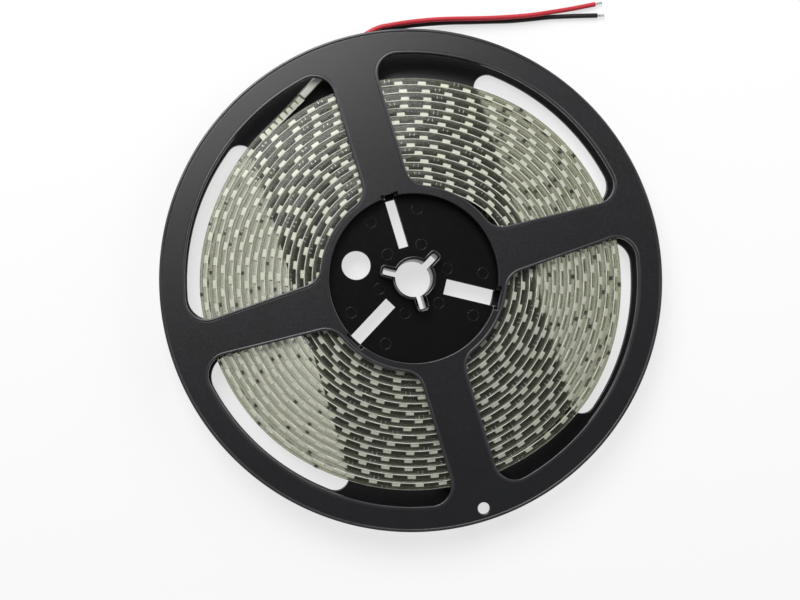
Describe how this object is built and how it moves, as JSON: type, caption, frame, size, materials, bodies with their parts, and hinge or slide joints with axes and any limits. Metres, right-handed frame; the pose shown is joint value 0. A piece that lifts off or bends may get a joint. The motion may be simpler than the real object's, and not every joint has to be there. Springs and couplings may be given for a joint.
{
  "type": "led strip light reel",
  "caption": "Flat black plastic reel of coated LED strip light, windowed flanges, keyed spindle bore, free strip tail with red and black leads.",
  "frame": {"origin": "on the reel's axis at the rear flange's outer face", "axes": "+Z along the reel's axis from the rear flange to the front flange, +X and +Y along two of the front flange's spokes, the leads leave near +Y"},
  "size_m": [0.187, 0.1808, 0.0131],
  "materials": {
    "flange_plastic": "satin",
    "hub_plastic": "gloss",
    "strip_coat": "satin",
    "sleeve_coat": "satin",
    "red_insulation": "satin",
    "black_insulation": "satin",
    "tinned_copper": "satin"
  },
  "bodies": {
    "root": {"rear_flange": "flange_plastic", "front_flange": "flange_plastic", "hub": "hub_plastic", "led_strip": "strip_coat", "strip_end_sleeve": "sleeve_coat", "red_wire": "red_insulation", "black_wire": "black_insulation", "red_wire_tip": "tinned_copper", "black_wire_tip": "tinned_copper"}
  },
  "joints": []
}
